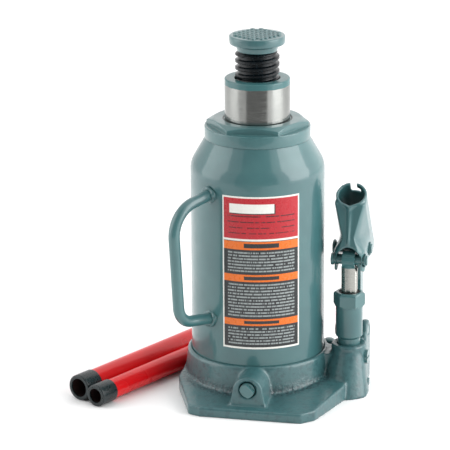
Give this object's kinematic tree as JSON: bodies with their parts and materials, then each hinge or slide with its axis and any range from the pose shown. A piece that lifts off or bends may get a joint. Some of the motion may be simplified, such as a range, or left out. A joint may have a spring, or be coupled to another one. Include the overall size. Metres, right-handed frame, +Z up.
{
  "type": "bottle jack",
  "caption": "Hydraulic bottle jack with a carrying handle, screw-out saddle, lever pump, release valve and a loose two-part pump handle.",
  "frame": {"origin": "on the ram's axis, on the underside of the base", "axes": "+Z up the ram, +X from the ram to the pump, -Y to the release valve"},
  "size_m": [0.231, 0.2916, 0.2877],
  "materials": {
    "grey_enamel": "gloss",
    "ground_steel": "ground",
    "black_screw": "satin",
    "black_rubber": "matte",
    "red_enamel": "gloss",
    "black_plastic": "satin",
    "printed_label": "gloss",
    "plain_steel": "plain",
    "copper": "satin"
  },
  "bodies": {
    "body": {"base_casting": "grey_enamel", "reservoir_tank": "grey_enamel", "main_cylinder": "ground_steel", "top_nut": "grey_enamel", "tank_gasket": "black_rubber", "cylinder_washer": "copper", "top_nut_seal": "black_rubber", "ram_wiper": "black_rubber", "carry_handle": "grey_enamel", "carry_handle_welds": "grey_enamel", "label_panel": "printed_label", "filler_plug": "black_rubber", "oil_strainer": "plain_steel", "delivery_plug": "grey_enamel", "suction_plug": "grey_enamel", "overload_ball": "plain_steel", "overload_spring": "plain_steel", "overload_screw": "plain_steel", "overload_cap": "grey_enamel", "release_ball": "plain_steel", "release_valve_ring": "black_rubber", "pump_washer": "copper", "pump_barrel": "grey_enamel", "pump_wiper": "black_rubber", "link_pin": "grey_enamel", "link_pin_clip": "grey_enamel"},
    "suction_ball": {"suction_ball": "plain_steel"},
    "delivery_ball": {"delivery_ball": "plain_steel"},
    "ram": {"ram": "ground_steel", "piston": "plain_steel", "backup_ring": "plain_steel", "piston_cup": "black_rubber", "piston_retainer": "plain_steel"},
    "saddle": {"saddle": "grey_enamel", "screw_keeper": "plain_steel"},
    "extension_screw": {"extension_screw": "black_screw"},
    "plunger": {"plunger": "ground_steel", "plunger_cup": "black_rubber"},
    "link": {"link": "grey_enamel"},
    "handle_socket": {"handle_socket": "grey_enamel", "plunger_pin": "grey_enamel", "fulcrum_pin": "grey_enamel", "socket_pin_clips": "grey_enamel"},
    "release_valve": {"release_valve_stem": "grey_enamel"},
    "lower_handle": {"lower_handle_tube": "red_enamel", "lower_handle_sleeve": "black_plastic"},
    "upper_handle": {"upper_handle_tube": "red_enamel", "upper_handle_sleeve": "black_plastic"}
  },
  "joints": [
    {"name": "ram_lift", "type": "slide", "parent": "body", "child": "ram", "axis": [0, 0, 1], "range_m": [-0.03, 0.12]},
    {"name": "saddle_raise", "type": "slide", "parent": "ram", "child": "saddle", "axis": [0, 0, 1], "range_m": [-0.0211, 0.0401]},
    {"name": "screw_turn", "type": "hinge", "parent": "saddle", "child": "extension_screw", "pos_m": [0, 0, 0.27], "axis": [0, 0, 1], "range_deg": [-1350, 2570]},
    {"name": "socket_swing", "type": "hinge", "parent": "link", "child": "handle_socket", "pos_m": [0.074, 0.022, 0.111], "axis": [1, 0, 0], "range_deg": [-7, 31.5]},
    {"name": "link_swing", "type": "hinge", "parent": "body", "child": "link", "pos_m": [0.074, 0.024, 0.042], "axis": [1, 0, 0], "range_deg": [-1.2, 4.6]},
    {"name": "plunger_stroke", "type": "slide", "parent": "body", "child": "plunger", "axis": [0, 0, 1], "range_m": [-0.0132, 0.0032]},
    {"name": "release_turn", "type": "hinge", "parent": "body", "child": "release_valve", "pos_m": [0.0082, -0.07, 0.022], "axis": [0, -1, 0], "range_deg": [0, 360]},
    {"name": "suction_lift", "type": "slide", "parent": "body", "child": "suction_ball", "axis": [0, 0, 1], "range_m": [0, 0.0015]},
    {"name": "delivery_lift", "type": "slide", "parent": "body", "child": "delivery_ball", "axis": [0, 0, 1], "range_m": [0, 0.0014]},
    {"name": "lower_handle_pick_up", "type": "slide", "parent": "body", "child": "lower_handle", "axis": [0, 0, 1], "range_m": [0, 0.3]},
    {"name": "upper_handle_pick_up", "type": "slide", "parent": "body", "child": "upper_handle", "axis": [0, 0, 1], "range_m": [0, 0.3]}
  ],
  "couplings": [
    {"joint": "saddle_raise", "follows": "screw_turn", "m_per_rad": 0.00089127},
    {"joint": "link_swing", "follows": "socket_swing", "ratio": 0.1325},
    {"joint": "plunger_stroke", "follows": "socket_swing", "m_per_rad": -0.02339}
  ]
}
